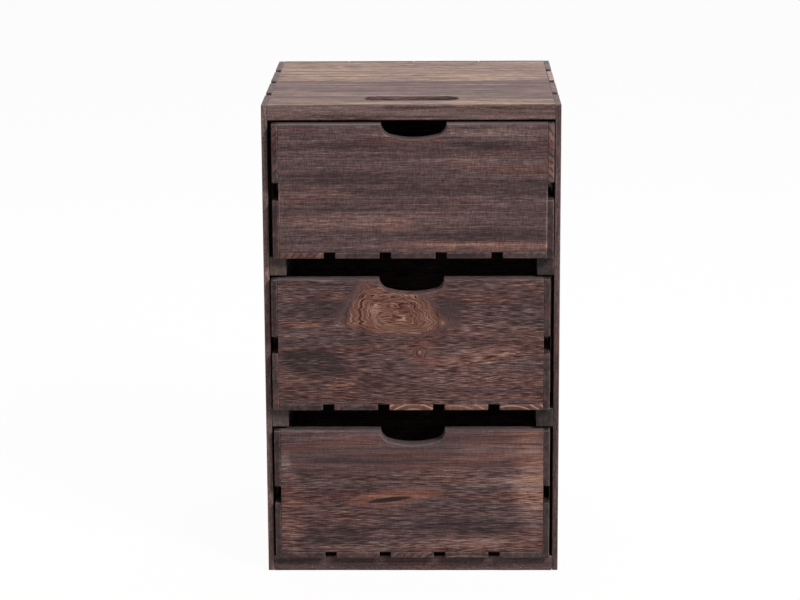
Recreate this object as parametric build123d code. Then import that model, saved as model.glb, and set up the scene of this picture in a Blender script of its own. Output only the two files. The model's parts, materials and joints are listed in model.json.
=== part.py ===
from build123d import *
from math import atan2, cos, sin
import os

# A drawer chest of thin boards: a case like a crate stood on end, and three crate drawers.
# Millimetres. X runs from left to right, Y from front to back and Z up.
# The origin is the middle of the case's footprint, at floor level.

# Case
case_width = 305.0
case_depth = 320.0
case_panel_thickness = 16.0
case_front_board_depth = 167.0  # the top and the bottom are two boards glued edge to edge
side_slat_thickness = 6.2
side_slat_count = 4
side_slat_gap = 16.5
back_board_thickness = 6.5
back_board_count = 4
back_board_gap = 0.4
hand_slot_length = 97.0
hand_slot_width = 28.5
hand_slot_setback = 29.5  # from the case's front edge to the slot
runner_width = 17.5
runner_height = 20.0

# Drawers, listed from the bottom up
drawer_names = ("bottom", "middle", "top")
drawer_stand_out = (7.8, 9.3, 11.4)  # each front stands this far out of the case
drawer_sideways_shift = (-0.5, -1.1, 1.7)  # each drawer lies loose, this far off centre
drawer_panel_height = 132.5
drawer_panel_thickness = 17.0
drawer_slat_thickness = 6.5
drawer_side_slat_count = 2
drawer_side_slat_gap = 18.0
drawer_bottom_slat_count = 5
drawer_bottom_slat_gap = 11.6
finger_cut_width = 66.6
finger_cut_corner = 13.0  # the round of its two corners
finger_cut_belly = 2.7  # its flatter arc goes this much deeper than the corners
finger_cut_offset = 0.9  # to the right of the panel's middle

# Room for the drawers to slide
drawer_side_clearance = 2.8  # on each side of a centred drawer
drawer_top_clearance = 2.1
drawer_seat_clearance = 0.3  # between a drawer and what carries it
drawer_rear_clearance = 1.3  # behind the drawer that is pushed in furthest

# Nails and edges
nail_length = 20.0
nail_shank_diameter = 1.4
nail_head_diameter = 2.6
nail_head_height = 0.8
nail_head_sink = 0.2
nail_hole_clearance = 0.05
nail_edge_inset = 12.0  # from a slat's long edges
nail_row_offset = 2.5  # two rows in one panel pass each other this far off its middle
slat_edge_round = 0.8
case_edge_round = 1.2
drawer_rim_round = 2.5

# What follows from the sizes above
inner_width = case_width - 2 * side_slat_thickness
inner_depth = case_depth - back_board_thickness
front_y = -case_depth / 2
back_inside_y = front_y + inner_depth
drawer_width = inner_width - 2 * drawer_side_clearance
drawer_height = drawer_slat_thickness + drawer_panel_height
drawer_depth = inner_depth + min(drawer_stand_out) - drawer_rear_clearance
bay_height = drawer_seat_clearance + drawer_height + drawer_top_clearance
bay_pitch = bay_height + runner_height
inner_height = len(drawer_names) * bay_pitch - runner_height
case_height = inner_height + 2 * case_panel_thickness
top_panel_z = case_height - case_panel_thickness
finger_cut_depth = finger_cut_corner + finger_cut_belly


def span(start, length):
    return start, start + length


def slat_spans(start, length, count, gap):
    # Equal slats that fill a length, with equal gaps between them
    width = (length - (count - 1) * gap) / count
    return [span(start + index * (width + gap), width) for index in range(count)]


def middle(pair):
    return (pair[0] + pair[1]) / 2


def nail_rows(pair):
    # Two nails across a slat, near its long edges
    return pair[0] + nail_edge_inset, pair[1] - nail_edge_inset


def plain_board(x, y, z):
    size = [high - low for low, high in (x, y, z)]
    return Pos(middle(x), middle(y), middle(z)) * Box(*size)


def slat(x, y, z):
    # A sawn slat with its edges rubbed round
    board = plain_board(x, y, z)
    return fillet(board.edges(), slat_edge_round)


def nail_body(clearance):
    # Along +Z from the board's face: a sunk head, then the shank
    head_end = nail_head_sink + nail_head_height + clearance
    head_start = 0 if clearance else nail_head_sink
    head = Pos(0, 0, head_start) * Cylinder(
        nail_head_diameter / 2 + clearance,
        head_end - head_start,
        align=(Align.CENTER, Align.CENTER, Align.MIN),
    )
    shank = Pos(0, 0, head_start) * Cylinder(
        nail_shank_diameter / 2 + clearance,
        nail_length + clearance - head_start,
        align=(Align.CENTER, Align.CENTER, Align.MIN),
    )
    return head + shank


nail_shape = nail_body(0)
hole_shape = nail_body(nail_hole_clearance)


def drive_nails(boards, places):
    # Each place names the boards that a nail joins, its point on the outer face and its way in
    nails = []
    holes = {}
    for joined, point, way in places:
        seat = Plane(origin=point, z_dir=way)
        nails.append(seat * nail_shape)
        for name in joined:
            holes.setdefault(name, []).append(seat * hole_shape)
    for name, cuts in holes.items():
        boards[name] = boards[name] - cuts
    return Compound(nails)


def case_panel(level, z):
    # Two boards between the side slats. The front one's exposed front edges are rubbed round.
    x = span(-inner_width / 2, inner_width)
    joint_y = front_y + case_front_board_depth
    front = plain_board(x, (front_y, joint_y), z)
    edges = front.edges().filter_by(Axis.X).group_by(Axis.Y)[0]
    front = fillet(edges, case_edge_round)
    rear = plain_board(x, (joint_y, back_inside_y), z)
    return {f"{level}_front_board": front, f"{level}_rear_board": rear}


def hand_slot():
    straight = hand_slot_length - hand_slot_width
    outline = SlotCenterToCenter(straight, hand_slot_width)
    y = front_y + hand_slot_setback + hand_slot_width / 2
    return Pos(0, y, top_panel_z) * extrude(outline, case_panel_thickness)


def make_case():
    bottom_z = (0, case_panel_thickness)
    top_z = (top_panel_z, case_height)
    boards = case_panel("bottom", bottom_z) | case_panel("top", top_z)
    boards["top_front_board"] = boards["top_front_board"] - hand_slot()
    panel_rows = {"bottom": middle(bottom_z), "top": middle(top_z)}
    side_places = []
    runner_places = []
    back_places = []

    runner_levels = {
        "lower": case_panel_thickness + bay_height,
        "upper": case_panel_thickness + bay_height + bay_pitch,
    }
    for side, way in (("left", 1), ("right", -1)):
        outer_x = -way * case_width / 2
        inner_x = -way * inner_width / 2
        slat_x = sorted((outer_x, inner_x))
        runner_x = sorted((inner_x, inner_x + way * runner_width))
        for level, low in runner_levels.items():
            y = (front_y, back_inside_y)
            boards[f"{side}_{level}_runner"] = slat(runner_x, y, span(low, runner_height))
        slats = slat_spans(front_y, case_depth, side_slat_count, side_slat_gap)
        for number, y in enumerate(slats, 1):
            name = f"{side}_side_slat_{number}"
            boards[name] = slat(slat_x, y, (0, case_height))
            for level, row in panel_rows.items():
                joined = (name, f"{level}_front_board", f"{level}_rear_board")
                for nail_y in nail_rows(y):
                    point = (outer_x, nail_y, row + nail_row_offset)
                    side_places.append((joined, point, (way, 0, 0)))
            for level, low in runner_levels.items():
                point = (outer_x, middle(y), low + runner_height / 2)
                runner_places.append(((name, f"{side}_{level}_runner"), point, (way, 0, 0)))

    backs = slat_spans(-inner_width / 2, inner_width, back_board_count, back_board_gap)
    for number, x in enumerate(backs, 1):
        name = f"back_board_{number}"
        boards[name] = slat(x, span(back_inside_y, back_board_thickness), (0, case_height))
        for level, row in panel_rows.items():
            for nail_x in nail_rows(x):
                point = (nail_x, case_depth / 2, row - nail_row_offset)
                back_places.append(((name, f"{level}_rear_board"), point, (0, -1, 0)))

    nails = {
        "side_slat_nails": drive_nails(boards, side_places),
        "runner_nails": drive_nails(boards, runner_places),
        "back_board_nails": drive_nails(boards, back_places),
    }
    return boards | nails


def finger_cut():
    # From the panel's top edge downwards: a corner arc, a flatter arc and a corner arc, all tangent
    half = finger_cut_width / 2
    corner_x = half - finger_cut_corner
    flat_round = (corner_x**2 + finger_cut_depth**2 - finger_cut_corner**2) / (2 * finger_cut_belly)
    flat_centre = flat_round - finger_cut_depth  # above the edge
    turn = atan2(flat_centre, corner_x)

    def on_corner(angle):
        return corner_x + finger_cut_corner * cos(angle), finger_cut_corner * sin(angle)

    start, bend, meet = on_corner(0), on_corner(turn / 2), on_corner(turn)
    right = ThreePointArc(start, bend, meet)
    flat = ThreePointArc(meet, (0, finger_cut_depth), (-meet[0], meet[1]))
    left = mirror(right, Plane.YZ)
    return make_face([right, flat, left.edge(), Line((-half, 0), (half, 0))])


def drawer_front(x, y, z):
    # The finger cut is in the top edge, and the front's upper edges are rubbed round
    panel = plain_board(x, y, z)
    cut_middle = middle(x) + finger_cut_offset
    cut_plane = Plane(origin=(cut_middle, y[0], z[1]), x_dir=(1, 0, 0), z_dir=(0, 1, 0))
    panel = panel - extrude(cut_plane * finger_cut(), y[1] - y[0])
    front_edges = panel.edges().group_by(Axis.Y)[0]
    upper_edges = [edge for edge in front_edges if edge.center().Z > middle((middle(z), z[1]))]
    return fillet(upper_edges, drawer_rim_round)


def make_drawer(name, level):
    centre_x = drawer_sideways_shift[level]
    floor_z = case_panel_thickness + level * bay_pitch + drawer_seat_clearance
    panel_z = span(floor_z + drawer_slat_thickness, drawer_panel_height)
    start_y = front_y - drawer_stand_out[level]
    whole_y = span(start_y, drawer_depth)
    panel_width = drawer_width - 2 * drawer_slat_thickness
    panel_x = span(centre_x - panel_width / 2, panel_width)
    panels = {
        "front": span(start_y, drawer_panel_thickness),
        "back": span(whole_y[1] - drawer_panel_thickness, drawer_panel_thickness),
    }
    boards = {
        f"{name}_drawer_front": drawer_front(panel_x, panels["front"], panel_z),
        f"{name}_drawer_back": plain_board(panel_x, panels["back"], panel_z),
    }
    places = []

    sides = slat_spans(floor_z, drawer_height, drawer_side_slat_count, drawer_side_slat_gap)
    for side, way in (("left", 1), ("right", -1)):
        outer_x = centre_x - way * drawer_width / 2
        slat_x = sorted((outer_x, outer_x + way * drawer_slat_thickness))
        for number, z in enumerate(sides, 1):
            slat_name = f"{name}_drawer_{side}_slat_{number}"
            boards[slat_name] = slat(slat_x, whole_y, z)
            for end, y in panels.items():
                for nail_z in nail_rows(z):
                    point = (outer_x, middle(y) - nail_row_offset, nail_z)
                    places.append(((slat_name, f"{name}_drawer_{end}"), point, (way, 0, 0)))

    floor = slat_spans(panel_x[0], panel_width, drawer_bottom_slat_count, drawer_bottom_slat_gap)
    for number, x in enumerate(floor, 1):
        slat_name = f"{name}_drawer_bottom_slat_{number}"
        boards[slat_name] = slat(x, whole_y, span(floor_z, drawer_slat_thickness))
        for end, y in panels.items():
            for nail_x in nail_rows(x):
                point = (nail_x, middle(y) + nail_row_offset, floor_z)
                places.append(((slat_name, f"{name}_drawer_{end}"), point, (0, 0, 1)))

    nails = {f"{name}_drawer_nails": drive_nails(boards, places)}
    return boards | nails


nodes = make_case()
for level, name in enumerate(drawer_names):
    nodes |= make_drawer(name, level)

os.makedirs("parts", exist_ok=True)
for name, solid in nodes.items():
    export_step(solid, f"parts/{name}.step")
print(f"{len(nodes)} nodes, case {case_width} x {case_depth} x {case_height:.1f} mm")
print(f"drawers {drawer_width:.1f} x {drawer_depth:.1f} x {drawer_height:.1f} mm")
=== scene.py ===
import json
import math
import random

import bmesh
import bpy
import numpy as np
from mathutils import Matrix, Vector


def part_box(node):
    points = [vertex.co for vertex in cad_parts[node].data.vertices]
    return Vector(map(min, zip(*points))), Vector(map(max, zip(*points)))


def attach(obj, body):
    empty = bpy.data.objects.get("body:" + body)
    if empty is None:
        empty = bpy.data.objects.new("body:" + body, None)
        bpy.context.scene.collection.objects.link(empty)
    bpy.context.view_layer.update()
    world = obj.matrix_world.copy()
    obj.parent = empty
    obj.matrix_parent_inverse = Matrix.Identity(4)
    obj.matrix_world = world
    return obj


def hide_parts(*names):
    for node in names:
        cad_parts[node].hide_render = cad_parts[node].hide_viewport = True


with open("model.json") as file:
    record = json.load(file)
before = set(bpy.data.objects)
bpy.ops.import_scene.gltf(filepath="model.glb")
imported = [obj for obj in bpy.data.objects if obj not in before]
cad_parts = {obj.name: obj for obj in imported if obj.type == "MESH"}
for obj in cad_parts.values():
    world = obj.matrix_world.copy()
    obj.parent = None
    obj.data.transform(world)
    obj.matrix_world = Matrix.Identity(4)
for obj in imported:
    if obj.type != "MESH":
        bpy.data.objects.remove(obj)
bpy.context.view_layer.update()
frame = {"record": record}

scene = bpy.context.scene
scene.view_settings.view_transform = "Standard"
mm = 0.001
bodyOf = {node: body for body, nodes in frame["record"]["behaviour"]["bodies"].items() for node in nodes}
slotOf = {part["node"]: part["material_slot"] for part in frame["record"]["subparts"]}


def toLinear(hexColour):
    shares = [int(hexColour[place:place + 2], 16) / 255 for place in (1, 3, 5)]
    return [s / 12.92 if s <= 0.04045 else ((s + 0.055) / 1.055) ** 2.4 for s in shares] + [1.0]


# Short names for the nodes that are used most
nodeKinds = {
    "math": "ShaderNodeMath",
    "vector": "ShaderNodeVectorMath",
    "range": "ShaderNodeMapRange",
    "mix": "ShaderNodeMix",
    "noise": "ShaderNodeTexNoise",
    "split": "ShaderNodeSeparateXYZ",
    "join": "ShaderNodeCombineXYZ",
}


def add(tree, kind, *inputs, op=None, ramp=(), **settings):
    # One node: its settings, its inputs (links or plain values, in order or by name) and a ramp's colours
    node = tree.nodes.new(nodeKinds.get(kind, kind))
    if op:
        node.operation = op
    for key, value in settings.items():
        setattr(node, key, value)
    for place, given in enumerate(inputs):
        named = given if isinstance(given, dict) else {place: given}
        for key, value in named.items():
            if isinstance(value, bpy.types.Node):
                value = value.outputs[0]
            if isinstance(value, bpy.types.NodeSocket):
                tree.links.new(value, node.inputs[key])
            else:
                node.inputs[key].default_value = value
    for index, colour in enumerate(ramp):
        place = index / (len(ramp) - 1)
        marks = node.color_ramp.elements
        mark = marks[index] if index < 2 else marks.new(place)    # a new ramp has two
        mark.position = place
        mark.color = toLinear(colour)
    return node


def freshTree(owner):
    owner.use_nodes = True
    owner.node_tree.nodes.clear()
    return owner.node_tree


# Camera, matched to the photograph's view: metres and degrees
camera = {
    "place": Vector((0.02911, -2.79701, 0.90972)),
    "turn": -0.8974,     # to the left of straight ahead
    "down": 13.159,
    "roll": -0.3042,
    "lens": 118.28,      # millimetres, as the sensor is
    "sensor": 36,
}


def setCamera():
    turn, down, roll = (math.radians(camera[key]) for key in ("turn", "down", "roll"))
    ahead = Vector((math.sin(turn) * math.cos(down), math.cos(turn) * math.cos(down), -math.sin(down)))
    level = Vector((math.cos(turn), -math.sin(turn), 0))
    rise = level.cross(ahead)
    right = math.cos(roll) * level + math.sin(roll) * rise
    up = math.cos(roll) * rise - math.sin(roll) * level
    data = bpy.data.cameras.new("chestCamera")
    data.lens = camera["lens"]
    data.sensor_width = camera["sensor"]
    eye = bpy.data.objects.new("chestCamera", data)
    scene.collection.objects.link(eye)
    facing = Matrix((right, up, -ahead)).transposed()
    eye.matrix_world = Matrix.Translation(camera["place"]) @ facing.to_4x4()
    scene.camera = eye


# Studio: a soft box above and behind, a key from the upper right front and a white floor
studio = {
    "white": (1, 1, 1, 1),
    "floorReach": 40.0,
    "floorBounce": "#8c8c8c",   # the floor as it lights the chest
    "floorGlow": 0.96,          # the share of the floor that the eye sees as plain white
    "worldLevel": 0.28,
    "lamps": {
        "overhead": {"place": (0.0, 0.95, 2.4), "aim": (0, 0.05, 0.5), "size": 1.3, "power": 24},
        "key": {"place": (2.0, -2.3, 2.7), "aim": (0, -0.16, 0.3), "size": 1.1, "power": 105},
    },
}


def seenRay(tree):
    # 1 for what the eye sees, straight or in a reflection, and 0 for light that is on its way to the chest
    rays = add(tree, "ShaderNodeLightPath").outputs
    seen = add(tree, "math", rays["Is Camera Ray"], rays["Is Glossy Ray"], op="MAXIMUM")
    return add(tree, "math", seen, rays["Is Transmission Ray"], op="MAXIMUM")


def setStudio():
    world = bpy.data.worlds.new("paleRoom")
    scene.world = world
    tree = freshTree(world)
    level = add(tree, "range", {"Value": seenRay(tree), "To Min": studio["worldLevel"]})
    sky = add(tree, "ShaderNodeBackground", {"Color": studio["white"], "Strength": level})
    add(tree, "ShaderNodeOutputWorld", {"Surface": sky})

    half = studio["floorReach"] / 2
    mesh = bpy.data.meshes.new("paleFloor")
    corners = [(-half, -half, 0), (half, -half, 0), (half, half, 0), (-half, half, 0)]
    mesh.from_pydata(corners, [], [(0, 1, 2, 3)])
    floor = bpy.data.objects.new("paleFloor", mesh)
    scene.collection.objects.link(floor)
    # Matt paper: white to the eye, with a faint shadow
    material = bpy.data.materials.new("paleFloorPaper")
    tree = freshTree(material)
    seen = seenRay(tree)
    bounce = toLinear(studio["floorBounce"])
    tint = add(tree, "mix", seen, {6: bounce, 7: studio["white"]}, data_type="RGBA")
    paper = add(tree, "ShaderNodeBsdfDiffuse", {"Color": tint.outputs[2]})
    glow = add(tree, "ShaderNodeEmission", {"Color": studio["white"]})
    share = add(tree, "math", seen, studio["floorGlow"], op="MULTIPLY")
    surface = add(tree, "ShaderNodeMixShader", share, paper, glow)
    add(tree, "ShaderNodeOutputMaterial", {"Surface": surface})
    mesh.materials.append(material)

    for name, lamp in studio["lamps"].items():
        data = bpy.data.lights.new(name, "AREA")
        data.size = lamp["size"]
        data.energy = lamp["power"]
        light = bpy.data.objects.new(name, data)
        scene.collection.objects.link(light)
        light.location = lamp["place"]
        light.rotation_euler = (Vector(lamp["aim"]) - light.location).to_track_quat("-Z", "Y").to_euler()


setCamera()
setStudio()
print("camera and studio set")


# Torched wood: a soft, open-pored timber, scorched and brushed. The burn turns it purple-brown, its fibres
# stay as fine dark and pale dashes, and rubbed places glow orange. Lengths are millimetres of the board.
torchedGrain = {
    "pores": dict(along=13, across=0.64, detail=1, spread=0.15, tone=0.5, relief=0.8, by="dash"),
    "fibres": dict(along=40, across=1.25, detail=2, spread=0.16, tone=0.15, relief=0.5, by="dash"),
    "threads": dict(along=170, across=0.9, detail=1, spread=0.16, tone=0.26, relief=0.3, by="thread"),
    "flecks": dict(along=2.6, across=0.7, detail=1, spread=0.16, tone=0.13, relief=0.2, by="fleck"),
    "sawMarks": dict(along=1.5, across=6, detail=1, spread=0.18, tone=0.14, relief=0.1, by="saw"),
    "streaks": dict(along=140, across=4.5, detail=2, spread=0.18, tone=0.18, relief=0.1, by="streak"),
    "scorch": dict(along=150, across=18, detail=2, spread=0.18, tone=0.24, relief=0, by="scorch"),
}
# Each row goes from dark to light in even steps
torchedColours = {
    "mauve": ("#261b1b", "#3f2f2f", "#5c4747", "#7c6462", "#a58e89"),
    "amber": ("#2d1817", "#4a2d2a", "#6b4944", "#8f6b62", "#b69288"),
    "orange": ("#331611", "#562d24", "#794c3f", "#9e7161", "#c19d89"),
    "rubbed": "#a08a80",
}
topColours = {
    "mauve": ("#2b1919", "#452d2c", "#624643", "#82625d", "#a98b84"),
    "amber": ("#301c15", "#4e352b", "#6f5246", "#937565", "#bb9d8b"),
    "orange": ("#2c1d14", "#4d3829", "#72563f", "#9a7959", "#c5a179"),
    "rubbed": "#9c8c87",
}
# The drawer fronts' rubbed colour is greyer: along their rims it is a painted highlight as well as wear
frontColours = torchedColours | {"rubbed": "#8d898a"}
slatColours = torchedColours | {"mauve": ("#241c1c", "#3c3030", "#584949", "#776866", "#9e908c")}
runnerColours = {
    "mauve": ("#1f1b1b", "#362f2f", "#504846", "#6b605d", "#8a7e79"),
    "amber": ("#221917", "#3a2e2a", "#56453c", "#745c50", "#977b67"),
    "orange": ("#241811", "#3d2d24", "#5a4433", "#785d45", "#9b7c58"),
    "rubbed": "#7d726c",
}
torchedShape = {
    "ownPlace": (1.0, 0.7, 0.4),  # which way boards lie apart in the timber
    "sweep": {"along": 140, "across": 45, "reach": 12},
    "ripple": {"along": 24, "across": 5, "reach": 3.4},
    "leastLength": 0.1,     # of a figure's length: what a taper leaves
    "contourHold": {"From Min": 1.4, "From Max": 0.85},
    "contourFade": 0.3,
    "middleTone": 0.5,
    "ringWidth": 0.14,      # of a growth ring: its thin dark line
    "ringRise": 0.42,       # of a growth ring: where that line starts, from its end
    "ringBand": 0.08,       # how much whole rings differ
    "ringShows": {"From Min": 0.4, "From Max": 0.6},
    "ringGroove": 0.15,
    "endCalm": 0.65,        # how much of the dashes is lost on an end
    "sideCalm": 0.35,       # how much of them is lost on a narrow side
    "sideCool": 0.25,       # how much colder a narrow side is
    "sideFleck": 1.8,       # how many more flecks it has
    "figuredScorch": 0.5,   # the scorch that a board with figures keeps
    "dashMost": 1.35,       # boards with fewer dashes than this show long threads
    "glowGrain": {"along": 110, "across": 10, "detail": 3, "place": (31.7, 12.3, 5.1)},
    "glow": {"From Min": 0.34, "From Max": 0.70, "To Min": -0.65, "To Max": 0.65},
    "spark": {"From Min": 0.32, "From Max": 0.68, "To Min": -0.1, "To Max": 0.1},
    "worn": {"From Min": 0.35, "From Max": 0.62, "To Min": 0.1, "To Max": 0.6},
    "rough": {"From Min": 0.3, "From Max": 0.7, "To Min": 0.62, "To Max": 0.48},
    "relief": 0.5,
    "reliefDepth": 0.25,
    "bend": 1.45,           # of light in the wood's skin
    "gloss": 0.25,
}
# What each board tells its wood, three measures to a mark
timberMarks = {
    "lot": ("shift", "tone", "warmth"),
    "heart": ("heartAcross", "heartDeep", "lean"),
    "habit": ("waver", "dash", "saw"),
    "rings": ("ringPitch", "ringDark", "endRing"),
    "skin": ("endTone", "sideTone", "streak"),
}


def grainSteps(pattern):
    # A pattern's steps along the grain, across it and through the board
    return 1 / pattern["along"], 1 / pattern["across"], 1 / pattern["across"]


def figureRadius(tree, grain, wavers, figure):
    # How far a place is from a figure's middle: 1 is its uneven outline
    middle = (-figure["along"], -figure["across"], 0)
    offset = add(tree, "vector", grain, middle, op="ADD")
    lean = -math.radians(figure["lean"])
    turned = add(tree, "ShaderNodeVectorRotate", {"Vector": offset, "Angle": lean}, rotation_type="Z_AXIS")
    outAlong, outAcross, _ = add(tree, "split", turned).outputs
    above = add(tree, "math", outAcross, figure["width"], op="DIVIDE")
    below = add(tree, "math", outAcross, -figure["under"], op="DIVIDE")
    rise = add(tree, "math", above, below, op="MAXIMUM")
    taper = -figure["taper"] * figure["length"]
    length = add(tree, "math", rise, taper, figure["length"] - figure["core"], op="MULTIPLY_ADD")
    least = torchedShape["leastLength"] * figure["length"]
    length = add(tree, "math", length, least, op="MAXIMUM")
    run = add(tree, "math", above, -figure["slant"], outAlong, op="MULTIPLY_ADD")
    run = add(tree, "math", run, op="ABSOLUTE")
    run = add(tree, "math", run, figure["core"], op="SUBTRACT")
    run = add(tree, "math", run, 0.0, op="MAXIMUM")
    run = add(tree, "math", run, length, op="DIVIDE")
    total = 0.0
    for part in (run, rise):
        part = add(tree, "math", part, figure["power"], op="POWER")
        total = add(tree, "math", part, total, op="ADD")
    radius = add(tree, "math", total, 1 / figure["power"], op="POWER")
    wobble = figure["wobble"]
    for waver in wavers:
        uneven = add(tree, "range", {"Value": waver, "To Min": -wobble, "To Max": wobble})
        radius = add(tree, "math", radius, uneven, op="ADD")
    return radius


def torchedWood(name, colours=torchedColours, figures=()):
    material = bpy.data.materials.new(name)
    tree = freshTree(material)
    shape = torchedShape
    marks = {}
    for label in ("faces", *timberMarks):
        mark = add(tree, "ShaderNodeAttribute", attribute_name=label).outputs["Vector"]
        marks[label] = add(tree, "split", mark).outputs
    shift, boardTone, boardWarmth = marks["lot"]
    heartAcross, heartDeep, heartLean = marks["heart"]
    boardWaver, boardDash, saw = marks["habit"]
    ringPitch, ringDark, endRing = marks["rings"]
    endTone, sideTone, streak = marks["skin"]
    endFace, sideFace, wearAndHighlight = marks["faces"]
    grain = add(tree, "ShaderNodeAttribute", attribute_name="grain").outputs["Vector"]
    along, across, through = add(tree, "split", grain).outputs
    ownPlace = add(tree, "vector", shape["ownPlace"], {"Scale": shift}, op="SCALE")
    ownTimber = add(tree, "vector", grain, ownPlace, op="ADD")

    # The grain wavers, in long sweeps and short ripples
    bent = across
    wavers = []
    for label in ("sweep", "ripple"):
        slow = add(tree, "vector", ownTimber, grainSteps(shape[label]), op="MULTIPLY")
        waver = add(tree, "noise", {"Vector": slow, "Scale": 1.0, "Detail": 1.0})
        reach = shape[label]["reach"] / 2
        sway = add(tree, "range", {"Value": waver, "To Min": -reach, "To Max": reach})
        bent = add(tree, "math", sway, boardWaver, bent, op="MULTIPLY_ADD")
        wavers.append(waver)

    # Figures: patches of their own tone and warmth. The grain runs round those with a contour.
    levels = {"tone": boardTone, "warmth": boardWarmth, "dash": boardDash}
    for figure in figures:
        radius = figureRadius(tree, grain, wavers, figure)
        soft = figure["soft"]
        share = add(tree, "range", {"Value": radius, "From Min": 1 + soft, "From Max": 1 - soft},
                    interpolation_type="SMOOTHSTEP")
        for label in levels:
            levels[label] = add(tree, "math", share, figure[label], levels[label], op="MULTIPLY_ADD")
        if figure["contour"]:
            reach = figure["contour"] * figure["width"]
            nested = add(tree, "math", radius, reach, figure["across"], op="MULTIPLY_ADD")
            hold = add(tree, "range", {"Value": radius} | shape["contourHold"],
                       interpolation_type="SMOOTHSTEP")
            calmed = figure["calmed"]
            inside = add(tree, "range",
                         {"Value": radius, "From Min": calmed - shape["contourFade"], "From Max": calmed},
                         interpolation_type="SMOOTHSTEP")
            hold = add(tree, "math", hold, inside, op="MULTIPLY")
            bent = add(tree, "mix", hold, {2: bent, 3: nested}, data_type="FLOAT")
    cooler = add(tree, "math", boardWarmth, shape["sideCool"], op="SUBTRACT")
    for label, plain in (("tone", boardTone), ("warmth", cooler), ("dash", boardDash)):
        levels[label] = add(tree, "mix", sideFace, {2: levels[label], 3: plain}, data_type="FLOAT")
    bentGrain = add(tree, "join", along, bent, through)
    bentTimber = add(tree, "vector", bentGrain, ownPlace, op="ADD")

    # Tone: the board's own level, then the grain from fine to broad
    tone = add(tree, "math", levels["tone"], shape["middleTone"] - shape["ringBand"] / 2, op="ADD")
    calm = add(tree, "math", endFace, -shape["endCalm"], 1.0, op="MULTIPLY_ADD")
    dash = add(tree, "math", levels["dash"], calm, op="MULTIPLY")
    thread = add(tree, "math", shape["dashMost"], levels["dash"], op="SUBTRACT", use_clamp=True)
    thread = add(tree, "math", thread, calm, op="MULTIPLY")
    calm = add(tree, "math", sideFace, -shape["sideCalm"], 1.0, op="MULTIPLY_ADD")
    dash = add(tree, "math", dash, calm, op="MULTIPLY")
    streak = add(tree, "math", streak, calm, op="MULTIPLY")
    fleck = add(tree, "math", sideFace, shape["sideFleck"], 1.0, op="MULTIPLY_ADD")
    scorch = shape["figuredScorch"] if figures else 1.0
    amounts = {"dash": dash, "fleck": fleck, "thread": thread, "saw": saw, "streak": streak,
               "scorch": scorch}
    relief = 0.0
    layers = {}
    for label, layer in torchedGrain.items():
        drawn = add(tree, "vector", bentTimber, grainSteps(layer), op="MULTIPLY")
        layers[label] = add(tree, "noise", {"Vector": drawn, "Scale": 1.0, "Detail": layer["detail"]})
        spread, reach = layer["spread"], layer["tone"] / 2
        change = add(tree, "range", {"Value": layers[label], "From Min": 0.5 - spread,
                                     "From Max": 0.5 + spread, "To Min": -reach, "To Max": reach})
        tone = add(tree, "math", change, amounts[layer["by"]], tone, op="MULTIPLY_ADD")
        relief = add(tree, "math", layers[label], layer["relief"], relief, op="MULTIPLY_ADD")

    # Growth rings about the tree's heart: thin dark lines that come and go, plainer on the ends
    leaning = add(tree, "math", along, heartLean, heartAcross, op="MULTIPLY_ADD")
    sideways = add(tree, "math", bent, leaning, op="SUBTRACT")
    deep = add(tree, "math", through, heartDeep, op="SUBTRACT")
    spoke = add(tree, "join", sideways, deep)
    spoke = add(tree, "vector", spoke, op="LENGTH").outputs["Value"]
    rings = add(tree, "math", spoke, ringPitch, op="DIVIDE")
    ringNumber = add(tree, "math", rings, op="FLOOR")
    ringPlace = add(tree, "math", rings, op="FRACT")
    ringTone = add(tree, "ShaderNodeTexWhiteNoise", {"W": ringNumber}, noise_dimensions="1D")
    tone = add(tree, "math", ringTone, shape["ringBand"], tone, op="MULTIPLY_ADD")
    early = add(tree, "range", {"Value": ringPlace, "From Min": 1 - shape["ringRise"],
                                "From Max": 1 - shape["ringWidth"]}, interpolation_type="SMOOTHSTEP")
    late = add(tree, "range", {"Value": ringPlace, "From Min": 1.0, "From Max": 1 - shape["ringWidth"]})
    ringLine = add(tree, "math", early, late, op="MULTIPLY")
    comeAndGo = add(tree, "range", {"Value": layers["streaks"]} | shape["ringShows"])
    comeAndGo = add(tree, "math", comeAndGo, endFace, op="MAXIMUM")
    ringLine = add(tree, "math", ringLine, comeAndGo, op="MULTIPLY")
    ringDepth = add(tree, "mix", endFace, {2: ringDark, 3: endRing}, data_type="FLOAT")
    ringDepth = add(tree, "math", ringDepth, ringLine, op="MULTIPLY")
    tone = add(tree, "math", tone, ringDepth, op="SUBTRACT")
    tone = add(tree, "math", endFace, endTone, tone, op="MULTIPLY_ADD")
    # Narrow sides take their own tone; on the drawer fronts this is painted shade on their top edges and
    # finger-cut walls
    tone = add(tree, "math", sideFace, sideTone, tone, op="MULTIPLY_ADD")

    # Warmth: where the burn was rubbed back, the wood under it shows amber
    broad = add(tree, "vector", bentTimber, grainSteps(shape["glowGrain"]), shape["glowGrain"]["place"],
                op="MULTIPLY_ADD")
    glow = add(tree, "noise", {"Vector": broad, "Scale": 1.0, "Detail": shape["glowGrain"]["detail"]})
    glow = add(tree, "range", {"Value": glow} | shape["glow"])
    spark = add(tree, "range", {"Value": layers["fibres"]} | shape["spark"])
    glow = add(tree, "math", glow, spark, op="ADD")
    warmth = add(tree, "math", glow, levels["warmth"], op="ADD")
    wood = add(tree, "ShaderNodeValToRGB", tone, ramp=colours["mauve"]).outputs[0]
    for start, label in enumerate(("amber", "orange")):
        warmer = add(tree, "ShaderNodeValToRGB", tone, ramp=colours[label])
        share = add(tree, "range", {"Value": warmth, "From Min": start, "From Max": start + 1.0})
        wood = add(tree, "mix", share, {6: wood, 7: warmer}, data_type="RGBA").outputs[2]
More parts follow.
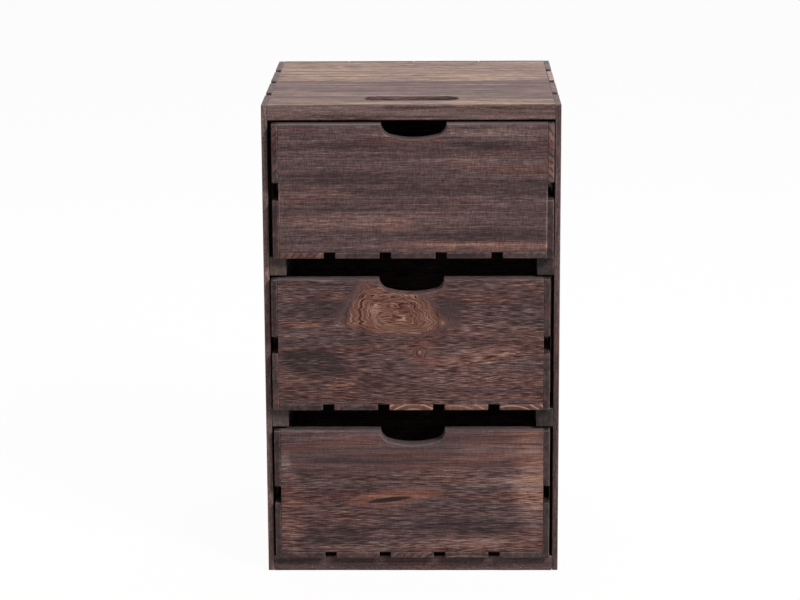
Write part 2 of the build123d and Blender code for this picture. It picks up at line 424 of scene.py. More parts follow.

    # Handled edges are rubbed lighter, in patches: real wear, and along arrises and the drawer fronts' rims
    # also a painted highlight
    worn = add(tree, "range", {"Value": layers["streaks"]} | shape["worn"])
    rubbed = add(tree, "math", wearAndHighlight, worn, op="MULTIPLY", use_clamp=True)
    pale = toLinear(colours["rubbed"])
    wood = add(tree, "mix", rubbed, {6: wood, 7: pale}, data_type="RGBA").outputs[2]

    rough = add(tree, "range", {"Value": layers["fibres"]} | shape["rough"])
    relief = add(tree, "math", ringLine, -shape["ringGroove"], relief, op="MULTIPLY_ADD")
    bump = add(tree, "ShaderNodeBump",
               {"Strength": shape["relief"], "Distance": shape["reliefDepth"] * mm, "Height": relief})
    surface = add(tree, "ShaderNodeBsdfPrincipled",
                  {"Base Color": wood, "Roughness": rough, "Normal": bump, "IOR": shape["bend"],
                   "Specular IOR Level": shape["gloss"]})
    add(tree, "ShaderNodeOutputMaterial", {"Surface": surface})
    return material


# Sawn boards: every slat, runner and plain panel grows from one tree of nodes. Lengths are millimetres.
sawnBoard = {
    "cell": 8.0,           # mesh cells on the flats
    "stripCells": 4,       # mesh cells in the two strips along a board's edges, together
    "edgeZone": 2.4,       # the strip along an edge that rounding and chips can take
    "uneven": {"every": 24, "detail": 1},
    "unevenRound": {"From Min": 0.25, "From Max": 0.75, "To Min": 0.55, "To Max": 1.5},
    "chips": {"every": 9, "detail": 2},
    "chipShows": {"From Min": 0.62, "From Max": 0.74},
    "chipDepth": 1.1,
    "dents": {"every": 40, "detail": 2},
    "dentDepth": 0.12,
    "nickReach": 6.0,
    # the strip along each edge that wears lighter and carries a painted highlight
    "wearWidth": 1.3,
    "faceWidth": 0.9,      # how far an end's or a side's own colour goes round the edge
}


def growingTree(name, inputs, output):
    # A tree of geometry nodes, with its inputs by name and kind
    tree = bpy.data.node_groups.new(name, "GeometryNodeTree")
    for label, kind in inputs.items():
        tree.interface.new_socket(label, in_out="INPUT", socket_type="NodeSocket" + kind)
    tree.interface.new_socket(output, in_out="OUTPUT", socket_type="NodeSocketGeometry")
    return tree, add(tree, "NodeGroupInput").outputs


def sawnBoardTree():
    vectors = ["Size", "Nick", "Turn", "Centre"] + [mark.capitalize() for mark in timberMarks]
    inputs = {"Edge Round": "Float", "Chips": "Float", "Seed": "Float", "Wood": "Material"}
    inputs |= {label: "Vector" for label in vectors}
    tree, given = growingTree("sawnBoard", inputs, "Board")
    zone = sawnBoard["edgeZone"] * mm
    cell = sawnBoard["cell"] * mm
    stripCells = sawnBoard["stripCells"]
    fewest = stripCells + 1.5      # one cell on the flat, and a half to round by

    # A box of cells, two of them in the strip along each edge
    counts = add(tree, "vector", given["Size"], (1 / cell,) * 3, (fewest,) * 3, op="MULTIPLY_ADD")
    counts = add(tree, "vector", counts, op="FLOOR")
    points = add(tree, "vector", counts, (1, 1, 1), op="ADD")
    points = add(tree, "split", points).outputs
    cube = add(tree, "GeometryNodeMeshCube", (2, 2, 2), *points)
    half = add(tree, "vector", given["Size"], {"Scale": 0.5}, op="SCALE")
    place = add(tree, "GeometryNodeInputPosition")
    away = add(tree, "vector", place, op="ABSOLUTE")
    side = add(tree, "vector", place, op="SIGN")
    strip = add(tree, "vector", (stripCells,) * 3, counts, op="DIVIDE")
    flatShare = add(tree, "vector", (1, 1, 1), strip, op="SUBTRACT")
    inner = add(tree, "vector", away, flatShare, op="MINIMUM")
    inner = add(tree, "vector", inner, flatShare, op="DIVIDE")
    flatHalf = add(tree, "vector", half, (zone,) * 3, op="SUBTRACT")
    inner = add(tree, "vector", inner, flatHalf, op="MULTIPLY")
    outer = add(tree, "vector", away, flatShare, op="SUBTRACT")
    outer = add(tree, "vector", outer, (0, 0, 0), op="MAXIMUM")
    outer = add(tree, "vector", outer, strip, op="DIVIDE")
    spread = add(tree, "vector", outer, (zone,) * 3, inner, op="MULTIPLY_ADD")
    square = add(tree, "vector", spread, side, op="MULTIPLY")

    # The rounding differs along an edge, with a chip here and there and a nick where one is asked for
    noises = {}
    for label in ("uneven", "chips", "dents"):
        scale = 1 / (sawnBoard[label]["every"] * mm)
        noises[label] = add(tree, "noise", {"Vector": square, "W": given["Seed"], "Scale": scale,
                                            "Detail": sawnBoard[label]["detail"]}, noise_dimensions="4D")
    uneven = add(tree, "range", {"Value": noises["uneven"]} | sawnBoard["unevenRound"])
    radius = add(tree, "math", given["Edge Round"], uneven, op="MULTIPLY")
    chipped = add(tree, "range", {"Value": noises["chips"]} | sawnBoard["chipShows"])
    chipDepth = add(tree, "math", given["Chips"], sawnBoard["chipDepth"] * mm, op="MULTIPLY")
    radius = add(tree, "math", chipped, chipDepth, radius, op="MULTIPLY_ADD")
    fromNick = add(tree, "vector", square, given["Nick"], op="DISTANCE").outputs["Value"]
    nicked = add(tree, "range", {"Value": fromNick, "From Max": sawnBoard["nickReach"] * mm,
                                 "To Min": zone, "To Max": 0.0})
    radius = add(tree, "math", radius, nicked, op="ADD")
    radius = add(tree, "math", radius, zone, op="MINIMUM")
    reach = add(tree, "vector", half, radius, op="SUBTRACT")
    against = add(tree, "vector", reach, {"Scale": -1.0}, op="SCALE")
    core = add(tree, "vector", square, reach, op="MINIMUM")
    core = add(tree, "vector", core, against, op="MAXIMUM")
    stand = add(tree, "vector", square, core, op="SUBTRACT")
    outward = add(tree, "vector", stand, op="NORMALIZE")
    skin = add(tree, "math", noises["dents"], -sawnBoard["dentDepth"] * mm, radius, op="MULTIPLY_ADD")
    skin = add(tree, "vector", outward, {"Scale": skin}, op="SCALE")
    rounded = add(tree, "vector", core, skin, op="ADD")
    board = add(tree, "GeometryNodeSetPosition", {"Geometry": cube, "Position": rounded})

    # What the wood needs to know: the place in the board, its ends and narrow sides, and its worn edges,
    # which also carry a painted highlight
    inset = add(tree, "vector", half, away, op="SUBTRACT")
    gaps = add(tree, "split", inset).outputs
    total = add(tree, "vector", inset, (1, 1, 1), op="DOT_PRODUCT").outputs["Value"]
    least, most = gaps[0], gaps[0]
    for distance in (gaps[1], gaps[2]):
        least = add(tree, "math", least, distance, op="MINIMUM")
        most = add(tree, "math", most, distance, op="MAXIMUM")
    second = add(tree, "math", total, least, op="SUBTRACT")
    second = add(tree, "math", second, most, op="SUBTRACT")
    near = []
    for distance, width in ((gaps[0], "faceWidth"), (gaps[1], "faceWidth"), (second, "wearWidth")):
        near.append(add(tree, "range", {"Value": distance, "From Max": sawnBoard[width] * mm,
                                        "To Min": 1.0, "To Max": 0.0}))
    faces = add(tree, "join", *near)
    lengths = add(tree, "vector", place, {"Scale": 1 / mm}, op="SCALE")
    marks = {"grain": lengths, "faces": faces}
    marks |= {mark: given[mark.capitalize()] for mark in timberMarks}
    for label, value in marks.items():
        board = add(tree, "GeometryNodeStoreNamedAttribute",
                    {"Geometry": board, "Name": label, "Value": value}, data_type="FLOAT_VECTOR")

    placed = add(tree, "GeometryNodeTransform",
                 {"Geometry": board, "Rotation": given["Turn"], "Translation": given["Centre"]})
    smooth = add(tree, "GeometryNodeSetShadeSmooth", {"Geometry": placed, "Shade Smooth": True})
    real = add(tree, "GeometryNodeRealizeInstances", {"Geometry": smooth})
    finished = add(tree, "GeometryNodeSetMaterial", {"Geometry": real, "Material": given["Wood"]})
    add(tree, "NodeGroupOutput", {"Board": finished})
    return tree


def settle(piece, modifier):
    # What the modifier made becomes the piece's own plain mesh
    mesh = bpy.data.meshes.new_from_object(piece.evaluated_get(bpy.context.evaluated_depsgraph_get()))
    piece.modifiers.remove(modifier)
    piece.data = mesh
    mesh.name = piece.name
    return mesh


def growPiece(name, tree, values, start=None):
    piece = bpy.data.objects.new(name, start or bpy.data.meshes.new(name))
    scene.collection.objects.link(piece)
    modifier = piece.modifiers.new(tree.name, "NODES")
    modifier.node_group = tree
    sockets = {item.name: item.identifier for item in tree.interface.items_tree if item.in_out == "INPUT"}
    for label, value in values.items():
        modifier[sockets[label]] = value
    settle(piece, modifier)
    return piece


def handOver(piece, *nodes):
    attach(piece, bodyOf[nodes[0]])
    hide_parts(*nodes)


def pieceName(node):
    first, *rest = node.split("_")
    return first + "".join(word.capitalize() for word in rest)


def layOut(node):
    # Grain runs along a board's longest side: its size and how it is turned to lie in the chest
    low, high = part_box(node)
    size = high - low
    order = sorted(range(3), key=lambda axis: -size[axis])
    turn = Matrix([Vector([float(axis == place) for axis in range(3)]) for place in order]).transposed()
    if turn.determinant() < 0:
        turn.col[2] = -turn.col[2]
    return Vector([size[axis] for axis in order]), turn, (low + high) / 2


# Each board's own timber, with lengths in millimetres from its middle. What isn't set for a board is drawn
# between two limits.
timber = {
    "tone": (-0.05, 0.05),
    "warmth": (0.15, 0.5),
    "heartAcross": (-60, 60),
    "heartDeep": (25, 90),
    "lean": (-0.03, 0.03),
    "waver": (0.3, 0.7),
    "dash": (0.7, 1.1),
    "saw": (0.3, 0.9),
    "streak": (0.8, 1.2),
    "ringPitch": (5, 8),
    "ringDark": (0.06, 0.12),
    "endTone": (-0.24, -0.14),
    "endRing": (0.04, 0.12),
    "sideTone": (-0.30, -0.22),
    "shift": (0, 4000),      # where the board lies in the timber's pattern
}
timberOf = {
    "top_rear_board": dict(tone=0.08, warmth=0.8, waver=0.06, sideTone=0, streak=4.0, dash=1.4),
    "top_front_board": dict(tone=-0.11, warmth=0.35, waver=0.06, sideTone=0.14, streak=3.6, dash=1.2),
    "bottom_front_board": dict(tone=0.04, warmth=0.20, waver=0.2, sideTone=0, dash=0.6),
    # On the drawer fronts, sideTone (set or drawn) darkens their top edges and finger-cut walls: painted
    # shade under what stands above them
    "top_drawer_front": dict(
        tone=0.01, warmth=0.10, heartAcross=-260, heartDeep=40, lean=0.012, waver=0.12, dash=0.65, saw=1.3,
        streak=0.7, ringPitch=9, ringDark=0.06),
    "middle_drawer_front": dict(
        tone=-0.08, warmth=0.58, heartAcross=-120, heartDeep=60, lean=-0.02, waver=1.0, dash=1.6, saw=0.5,
        streak=0.8, ringPitch=7, ringDark=0.02, sideTone=0),
    "bottom_drawer_front": dict(
        tone=-0.04, warmth=0.38, heartAcross=-160, heartDeep=50, lean=0.04, waver=0.8, dash=1.35, saw=0.6,
        streak=0.7, ringPitch=13, ringDark=0.12, sideTone=-0.12),
    "right_side_slat_1": dict(sideTone=-0.03, endTone=-0.10, endRing=0.25, heartAcross=70, heartDeep=70),
}
greyEnds = dict(warmth=0.05, endTone=-0.22, endRing=-0.22, heartAcross=0, heartDeep=300, ringPitch=3.2)
timberOf |= {f"left_side_slat_{number}": greyEnds for number in (2, 3, 4)}
timberOf["left_side_slat_1"] = greyEnds | {"warmth": 0.5, "sideTone": 0.27}
timberOf |= {f"back_board_{number}": {"endTone": -0.4} for number in (1, 2, 3, 4)}
# Boards of which the ends show most. Each row has as many of the measures as it needs.
endMeasures = ("endTone", "warmth", "endRing", "heartAcross", "heartDeep")
endsOf = {
    # The left runners' ends are painted lighter: painted light that offsets the shade the key lamp leaves
    # on that side
    "left_lower_runner": (0.17,),
    "left_upper_runner": (0.17,),
    "right_side_slat_2": (0.02, 0.1),
    "right_side_slat_3": (0.46, 0.65, 0.35, 200, 20),
    "right_side_slat_4": (-0.04, 0.1),
    "top_drawer_left_slat_2": (-0.14, 0.5, 0.35, -80, 80),
    "top_drawer_right_slat_2": (0.17, 0.9, 0.45, 80, 80),
    "top_drawer_bottom_slat_1": (0.0, 1.2, 0.5, 60, 50),
    "top_drawer_bottom_slat_3": (-0.25,),
    "top_drawer_bottom_slat_4": (-0.28,),
    "middle_drawer_right_slat_1": (-0.22, 0.1),
    "middle_drawer_bottom_slat_2": (-0.14, 0.4, 0.25, 10, 30),
    "middle_drawer_bottom_slat_3": (-0.06, 1.6, -0.9, 8, 34),
    "middle_drawer_bottom_slat_4": (0.05, 1.4, -0.4, -12, 40),
    "middle_drawer_bottom_slat_5": (-0.05, 1.3, -1.0, -10, 40),
    "bottom_drawer_right_slat_1": (-0.24, 0.0),
    "bottom_drawer_right_slat_2": (-0.24, 0.0),
    "bottom_drawer_bottom_slat_1": (-0.10, 0.5),
    "bottom_drawer_bottom_slat_2": (-0.05, 0.6),
    "bottom_drawer_bottom_slat_3": (0.08, 0.5, 0.5, 60, 60),
    "bottom_drawer_bottom_slat_4": (-0.16, 0.5, -0.5, 0, 140),
    "bottom_drawer_bottom_slat_5": (-0.06, 0.4),
}
timberOf |= {node: dict(zip(endMeasures, row)) for node, row in endsOf.items()}


def chooseTimber(node):
    draw = random.Random(node)
    chosen = {label: draw.uniform(*limits) for label, limits in timber.items()}
    chosen["heartDeep"] *= draw.choice((-1, 1))
    chosen.update(timberOf.get(node, {}))
    return {mark: Vector([chosen[label] for label in labels]) for mark, labels in timberMarks.items()}


boardTree = sawnBoardTree()
# How round a board's edges are, in millimetres, and how chipped: the first kind that is in its name counts
boardEdges = {
    "back_board": {"round": 0.4, "chips": 1.0},
    "side_slat": {"round": 0.6, "chips": 1.0},
    "slat": {"round": 0.65, "chips": 1.0},
    "runner": {"round": 0.8, "chips": 0.6},
    "board": {"round": 0.5, "chips": 0.2},
    "back": {"round": 0.5, "chips": 0.2},
}
nicks = {"bottom_drawer_right_slat_2": (-1, -1, -1)}     # which corner of a board is knocked off
noCorner = (99, 99, 99)
seedLimit = 900


def makeSawnBoard(node, wood):
    size, turn, centre = layOut(node)
    edges = next(edges for kind, edges in boardEdges.items() if kind in node)
    nick = Vector([way * length / 2 for way, length in zip(nicks.get(node, noCorner), size)])
    seed = random.Random(node + "edge").uniform(0, seedLimit)
    values = {"Size": size, "Turn": Vector(turn.to_euler()), "Centre": centre, "Wood": wood, "Nick": nick,
              "Edge Round": edges["round"] * mm, "Chips": edges["chips"], "Seed": seed}
    values |= {mark.capitalize(): value for mark, value in chooseTimber(node).items()}
    piece = growPiece(pieceName(node), boardTree, values)
    handOver(piece, node)


# Cut boards: the drawer fronts with their finger cuts and the top board with its hand slot, in millimetres
fingerCut = {"width": 66.6, "depth": 15.7, "corner": 13.0, "offset": 0.9, "cornerSteps": 10,
             "flatSteps": 12, "rimRound": 2.2, "edgeRound": 0.8, "rounds": 4, "wallShade": 1}
handSlot = {"length": 97.0, "width": 28.5, "setback": 29.5, "steps": 14, "rimRound": 1.3,
            "frontRound": 1.3, "edgeRound": 0.5, "rounds": 3, "wallShade": -1}
cutEdges = {
    "flatAngle": 0.01,     # radians: faces that meet flatter than this are one
    "edgeAngle": 0.6,      # radians: faces that meet sharper than this make an edge
    "endWidth": 0.3,
    "wallMargin": 3,       # a cut's own walls are this many rim rounds inside the board
    # rim wear with a painted highlight, brightest halfway round the rim's rounding
    "rimWear": 2.0,
    "wallWear": 0.5,
    "outer": 0.49,         # of a board's size, from its middle: beyond this lie its outer edges
    "slack": 1.02,
}


def stampTimber(mesh, size, node, cut):
    # The same marks as a sawn board's, in the board's own axes before it is turned
    points = np.empty(len(mesh.vertices) * 3)
    mesh.vertices.foreach_get("co", points)
    points = points.reshape(-1, 3)
    ends = np.clip(1 - (size.x / 2 - np.abs(points[:, 0])) / (cutEdges["endWidth"] * mm), 0, 1)
    rim = cut["rimRound"] * mm
    down = np.clip((size.z / 2 - points[:, 2]) / rim, 0, 1)
    side = down * np.clip((size.z / 2 + points[:, 2]) / rim, 0, 1)
    # Rims: real wear plus a painted highlight, brightest halfway round their rounding; walls: wear
    wearAndHighlight = cutEdges["rimWear"] * down * (1 - down) + cutEdges["wallWear"] * side
    inner = np.array(size[:2]) / 2 - cutEdges["wallMargin"] * rim
    inside = np.all(np.abs(points[:, :2]) < inner, axis=1)
    # wallShade -1 turns the top board's lighter side tone into painted shade on the hand slot's walls
    side *= np.where(inside, cut["wallShade"], 1)
    values = {"grain": points / mm, "faces": np.column_stack((ends, side, wearAndHighlight))}
    for mark, value in chooseTimber(node).items():
        values[mark] = np.tile(value, (len(points), 1))
    for label, value in values.items():
        mesh.attributes.new(label, "FLOAT_VECTOR", "POINT").data.foreach_set("vector", value.ravel())


def cutBoard(node, outline, hole, roundOf, cut, wood):
    # A flat outline, with or without a hole, made a board and bevelled by how far each edge is rubbed round
    size, turn, centre = layOut(node)
    shape = bmesh.new()
    loops = []
    for ring in filter(None, (outline, hole)):
        corners = [shape.verts.new((x, y, -size.z / 2)) for x, y in ring]
        loops += [shape.edges.new((corners[i - 1], corners[i])) for i in range(len(corners))]
    filled = bmesh.ops.triangle_fill(shape, use_beauty=True, use_dissolve=False, edges=loops)
    under = [item for item in filled["geom"] if isinstance(item, bmesh.types.BMFace)]
    raised = bmesh.ops.extrude_face_region(shape, geom=under)
    lifted = [item for item in raised["geom"] if isinstance(item, bmesh.types.BMVert)]
    bmesh.ops.translate(shape, verts=lifted, vec=(0, 0, size.z))
    if not hole:
        bmesh.ops.dissolve_limit(shape, angle_limit=cutEdges["flatAngle"], verts=shape.verts,
                                 edges=shape.edges, delimit=set())
    bmesh.ops.recalc_face_normals(shape, faces=shape.faces)
    weight = shape.edges.layers.float.new("bevel_weight_edge")
    for edge in shape.edges:
        if edge.calc_face_angle(0) > cutEdges["edgeAngle"]:
            start, end = (corner.co for corner in edge.verts)
            upright = abs(start.z - end.z) > size.z / 2
            edge[weight] = roundOf((start + end) / 2, upright) / cut["rimRound"]
    mesh = bpy.data.meshes.new(pieceName(node))
    shape.to_mesh(mesh)
    shape.free()
    piece = bpy.data.objects.new(pieceName(node), mesh)
    scene.collection.objects.link(piece)
    bevel = piece.modifiers.new("rubbedEdges", "BEVEL")
    bevel.limit_method = "WEIGHT"
    bevel.width = cut["rimRound"] * mm
    bevel.segments = cut["rounds"]
    bevel.harden_normals = True
    finished = settle(piece, bevel)
    stampTimber(finished, size, node, cut)
    finished.transform(Matrix.Translation(centre) @ turn.to_4x4())
    finished.materials.append(wood)
    handOver(piece, node)


def fingerCutCurve(top):
    # From right to left along the panel's top edge: a corner arc, a flatter arc and a corner arc
    corner, depth = fingerCut["corner"] * mm, fingerCut["depth"] * mm
    cornerX = fingerCut["width"] / 2 * mm - corner
    flatRound = (cornerX ** 2 + depth ** 2 - corner ** 2) / (2 * (depth - corner))
    turn = math.atan2(flatRound - depth, cornerX)
    right = []
    for step in range(fingerCut["cornerSteps"]):
        angle = turn * step / fingerCut["cornerSteps"]
        right.append((cornerX + corner * math.cos(angle), top - corner * math.sin(angle)))
    curve = list(right)
    for step in range(fingerCut["flatSteps"] + 1):
        angle = turn + (math.pi - 2 * turn) * step / fingerCut["flatSteps"]
        curve.append((flatRound * math.cos(angle), top + flatRound - depth - flatRound * math.sin(angle)))
    curve += [(-x, y) for x, y in reversed(right)]
    return [(x + fingerCut["offset"] * mm, y) for x, y in curve]


def makeDrawerFront(node, wood):
    size = layOut(node)[0]
    across, top = size.x / 2, size.y / 2
    outline = [(-across, -top), (across, -top), (across, top)] + fingerCutCurve(top) + [(-across, top)]

    def roundOf(middle, upright):
        high = middle.y > top - fingerCut["depth"] * cutEdges["slack"] * mm
        outer = cutEdges["outer"] * size
        rim = high and middle.z > outer.z and abs(middle.x) < outer.x
        return fingerCut["rimRound"] if rim else fingerCut["edgeRound"]

    cutBoard(node, outline, None, roundOf, fingerCut, wood)


def makeTopFrontBoard(node, wood):
    size = layOut(node)[0]
    across, deep = size.x / 2, size.y / 2
    outline = [(-across, -deep), (across, -deep), (across, deep), (-across, deep)]
    radius = handSlot["width"] / 2 * mm
    straight = handSlot["length"] / 2 * mm - radius
    slotY = -deep + handSlot["setback"] * mm + radius
    hole = []
    for side in (1, -1):
        for step in range(handSlot["steps"] + 1):
            angle = math.pi * step / handSlot["steps"] - math.pi / 2
            out, along = radius * math.cos(angle), radius * math.sin(angle)
            hole.append((side * (straight + out), slotY + side * along))

    def roundOf(middle, upright):
        reachX, reachY = cutEdges["slack"] * (straight + radius), cutEdges["slack"] * radius
        if abs(middle.x) < reachX and abs(middle.y - slotY) < reachY:
            return 0 if upright else handSlot["rimRound"]
        front = middle.y < -cutEdges["outer"] * size.y and not upright
        return handSlot["frontRound"] if front else handSlot["edgeRound"]

    cutBoard(node, outline, hole, roundOf, handSlot, wood)


def patch(along, across, length, width, tone, warmth, **more):
    # A figure on a board: its middle and its reach each way in millimetres, its tone and its warmth
    own = dict(along=along, across=across, length=length, width=width, tone=tone, warmth=warmth, dash=0)
    plain = dict(under=width, lean=0, core=0, taper=0, slant=0, power=2, wobble=0.6, soft=0.4, contour=0,
                 calmed=0)
    return own | plain | more


# What the burn left on the boards that show most, from the middle of each; the two last marks on the top
# drawer front are painted highlights
figuresOn = {
    "top_rear_board": [
        patch(60, 30, 95, 18, -0.08, -0.2),
        patch(95, -42, 60, 24, 0.07, 0.2),
        patch(-95, -10, 70, 60, 0.0, 0.3),
    ],
    "top_front_board": [
        patch(0, 36, 190, 46, -0.08, -0.2, power=4),
        patch(-100, -55, 75, 28, 0.04, 0.6),
        patch(105, -60, 62, 22, 0.12, 0.5),
        patch(0, -76, 165, 7, 0.09, 0.4),
    ],
    "top_drawer_front": [
        patch(-87, 59, 55, 6, 0.06, 0.2),
        patch(87, 57, 55, 6, 0.12, 0.1),
        patch(-80, 44, 65, 3.5, -0.16, -0.2, lean=2),
        patch(84, 43, 48, 3.5, -0.16, -0.2, lean=-5),
        patch(65, 26, 62, 9, 0.06, 0.1),
        patch(20, 6, 165, 10, -0.11, -0.3, lean=-3),
        patch(-92, -6, 46, 6.5, 0.10, 0.8),
        patch(-38, -20, 75, 3.5, -0.10, -0.1),
        patch(-66, -35, 78, 9, 0.14, 0.6),
        patch(100, -28, 45, 22, -0.03, -0.4),
        patch(30, -50.5, 140, 4, -0.14, -0.35),
        patch(92, -59, 45, 3.5, 0.07, 0.7, wobble=1.2),
        patch(0, -58, 60, 3.5, 0.07, 0.7, wobble=1.8),
        patch(-112, -62, 28, 5, 0.14, 0.5),
        # Painted highlights: thin pale lines down the front's right and left ends
        patch(136.6, -34, 1.2, 30, 0.3, 0.2, wobble=0.3),
        patch(-136.6, -16, 1.0, 24, 0.22, 0.2, wobble=0.3),
    ],
    "middle_drawer_front": [
        patch(-13, 20, 51, 38, 0.04, 1.9, under=11, core=10, taper=0.45, slant=-14, power=4, contour=-1.25,
              calmed=0.4, dash=0.5, soft=0.12, wobble=0.18),
        patch(-16, 40, 17, 8, -0.08, -0.5, lean=-10),
        patch(-37, 35, 6, 4, 0.2, 0.6),
        patch(-62, 42, 5, 15, 0.05, -0.4, lean=-22, dash=-0.7),
        patch(-98, 34, 34, 10, -0.10, -0.4, dash=-0.4),
        patch(40, 37, 14, 16, -0.06, -0.5, lean=25, dash=-0.9),
        patch(122, 40, 20, 16, 0.0, -0.5, dash=-0.3),
        patch(-107, 18, 28, 2.6, 0.18, 0.9),
        patch(-58, 4, 38, 7, -0.13, -0.3),
        patch(-98, -23, 34, 14, -0.25, -0.6, lean=-8, dash=-0.2),
        patch(-36, -43, 16, 10, -0.12, -0.2),
        patch(-75, -47, 15, 4, 0.17, 1.1, lean=4),
        patch(66, 10, 20, 3.5, 0.16, 0.2),
        patch(66, -17, 42, 8, 0.12, 1.0, lean=6),
        patch(34, -42, 34, 9, 0.09, 0.1),
        patch(12, -13, 16, 15, 0.06, 0.6, dash=-0.5),
        patch(10, -11, 7, 6, 0.0, 0.4, contour=-1, wobble=0.5),
        patch(9, -10.5, 1.6, 2.0, 0.28, 0.1, wobble=0.2),
    ],
    "bottom_drawer_front": [
        patch(0, 46, 170, 26, 0.06, 0, power=4, dash=-1.05),
        patch(126, 10, 20, 38, 0.26, 1.05, soft=0.7, wobble=0.7),
        patch(84, 4, 42, 18, 0.11, 0.2, soft=0.6),
        patch(-108, 32, 32, 16, -0.06, -0.1),
        patch(85, 44, 38, 10, 0.13, 0.4),
        patch(-43, 34, 70, 5, -0.12, -0.3, lean=1),
        patch(40, 22, 68, 8, 0.06, 0.3),
        patch(-132, 30, 5, 12, 0.22, -0.6),
        patch(-126, -22, 13, 42, 0.06, 0.6),
        patch(-14.5, -5.5, 50, 8, 0.17, 1.6, lean=8, dash=-1.0, soft=0.35, wobble=0.3),
        patch(-24, -8.5, 22, 2.4, -0.55, -1.2, lean=7.6, dash=-0.3, soft=0.25, wobble=0.15),
        patch(-97, 8, 36, 3, 0.12, 0.4, lean=6, wobble=0.3),
        patch(-95, -6, 30, 7, -0.10, -0.1),
        patch(-86, -44, 34, 14, -0.13, -0.4),
        patch(-58, -30, 22, 4, 0.12, 0.4),
        patch(68, -36, 48, 8, -0.19, -0.7),
        patch(20, -57, 62, 6, 0.11, 0.4),
        patch(100, -56, 34, 7, 0.06, 0.3),
    ],
}

woods = {
    "torched_panel_wood": torchedWood("torchedPanelWood"),
    "torched_slat_wood": torchedWood("torchedSlatWood"),
    "runner_wood": torchedWood("torchedRunnerWood", runnerColours),
}
drawerSlatWood = torchedWood("torchedDrawerSlatWood", slatColours)
nailGroups = [node for node in bodyOf if node.endswith("_nails")]
for node in bodyOf:
    wood = woods.get(slotOf[node])
    if "_drawer_" in node and "slat" in node:
        wood = drawerSlatWood
    if node in figuresOn:
        colours = frontColours if node.endswith("_drawer_front") else topColours
        wood = torchedWood(pieceName(node) + "Wood", colours, figuresOn[node])
    if node == "top_front_board":
        makeTopFrontBoard(node, wood)
    elif node.endswith("_drawer_front"):
        makeDrawerFront(node, wood)
    elif node not in nailGroups:
        makeSawnBoard(node, wood)
print("boards made")


# Nails: small darkened heads, driven flush. Lengths are millimetres.
nailHead = {
    "radius": 1.3,
    "spread": {2: 0.92, 3: 1.06},     # of the radius, from the smallest head to the largest
    "proud": 0.12,
    "sides": 14,
    "rings": 6,
    "inset": 12.0,
    "rowOffset": 2.5,
    "blotch": 0.9,
    "dark": "#2b2523",
    "bright": "#6b625d",
    "rough": {"To Min": 0.6, "To Max": 0.4},
    "metal": 0.85,
}


def darkSteel():
    material = bpy.data.materials.new("darkenedNailSteel")   # small dull glints in a brown-black head
    tree = freshTree(material)
    place = add(tree, "ShaderNodeTexCoord").outputs["Object"]
    blotch = add(tree, "noise", {"Vector": place, "Scale": 1 / (nailHead["blotch"] * mm), "Detail": 2.0})
    dark, bright = toLinear(nailHead["dark"]), toLinear(nailHead["bright"])
    tint = add(tree, "mix", blotch, {6: dark, 7: bright}, data_type="RGBA").outputs[2]
    rough = add(tree, "range", {"Value": blotch} | nailHead["rough"])
    steel = add(tree, "ShaderNodeBsdfPrincipled",
                {"Base Color": tint, "Metallic": nailHead["metal"], "Roughness": rough})
    add(tree, "ShaderNodeOutputMaterial", {"Surface": steel})
    return material


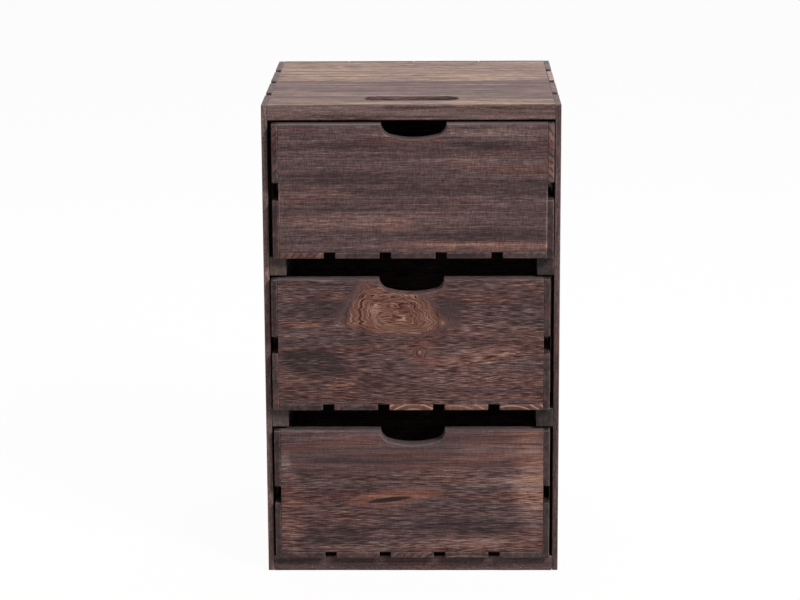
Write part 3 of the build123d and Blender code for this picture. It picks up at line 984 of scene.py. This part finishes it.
def nailHeadTree():
    inputs = {"Places": "Geometry", "Radius": "Float", "Proud": "Float", "Seed": "Int", "Steel": "Material"}
    tree, given = growingTree("nailHeads", inputs, "Heads")
    ball = add(tree, "GeometryNodeMeshUVSphere", nailHead["sides"], nailHead["rings"], {"Radius": 1.0})
    squash = add(tree, "join", given["Radius"], given["Radius"], given["Proud"])
    head = add(tree, "GeometryNodeTransform", {"Geometry": ball, "Scale": squash})
    way = add(tree, "GeometryNodeInputNamedAttribute", {"Name": "outward"}, data_type="FLOAT_VECTOR")
    turn = add(tree, "FunctionNodeAlignRotationToVector", {"Vector": way}, axis="Z")
    spread = add(tree, "FunctionNodeRandomValue", nailHead["spread"] | {"Seed": given["Seed"]},
                 data_type="FLOAT")
    heads = add(tree, "GeometryNodeInstanceOnPoints",
                {"Points": given["Places"], "Instance": head, "Rotation": turn, "Scale": spread.outputs[1]})
    real = add(tree, "GeometryNodeRealizeInstances", {"Geometry": heads})
    smooth = add(tree, "GeometryNodeSetShadeSmooth", {"Geometry": real, "Shade Smooth": True})
    finished = add(tree, "GeometryNodeSetMaterial", {"Geometry": smooth, "Material": given["Steel"]})
    add(tree, "NodeGroupOutput", {"Heads": finished})
    return tree


def rows(low, high):
    return low + nailHead["inset"] * mm, high - nailHead["inset"] * mm


def middleOf(node, axis):
    return sum(corner[axis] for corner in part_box(node)) / 2


def nailsOf(body):
    # Where each nail's head lies and which way it faces, from the boards that it joins
    offset = nailHead["rowOffset"] * mm
    found = []
    boards = [node for node in bodyOf if bodyOf[node] == body and node not in nailGroups]
    for node in boards:
        low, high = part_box(node)
        outer = low.x if "left" in node else high.x
        aside = Vector((-1 if "left" in node else 1, 0, 0))
        if "side_slat" in node and body == "case":
            for level in ("bottom", "top"):
                height = middleOf(f"{level}_front_board", 2) + offset
                found += [((outer, y, height), aside) for y in rows(low.y, high.y)]
            for level in ("lower", "upper"):
                height = middleOf(f"left_{level}_runner", 2)
                found.append(((outer, middleOf(node, 1), height), aside))
        elif node.startswith("back_board_"):
            for level in ("bottom", "top"):
                height = middleOf(f"{level}_front_board", 2) - offset
                found += [((x, high.y, height), Vector((0, 1, 0))) for x in rows(low.x, high.x)]
        elif "drawer" in node and "slat" in node:
            for end in ("front", "back"):
                y = middleOf(f"{body}_{end}", 1)
                if "bottom_slat" in node:
                    found += [((x, y + offset, low.z), Vector((0, 0, -1))) for x in rows(low.x, high.x)]
                else:
                    found += [((outer, y - offset, z), aside) for z in rows(low.z, high.z)]
    return found


def makeNails(body, tree, steel):
    found = nailsOf(body)
    name = pieceName(body + "_nails")
    places = bpy.data.meshes.new(name + "Places")
    places.from_pydata([point for point, way in found], [], [])
    ways = np.array([way for point, way in found])
    places.attributes.new("outward", "FLOAT_VECTOR", "POINT").data.foreach_set("vector", ways.ravel())
    values = {"Radius": nailHead["radius"] * mm, "Proud": nailHead["proud"] * mm, "Seed": len(found),
              "Steel": steel}
    piece = growPiece(name, tree, values, places)
    handOver(piece, *[node for node in nailGroups if bodyOf[node] == body])


headTree = nailHeadTree()
nailSteel = darkSteel()
for body in frame["record"]["behaviour"]["bodies"]:
    makeNails(body, headTree, nailSteel)
print("nails made")
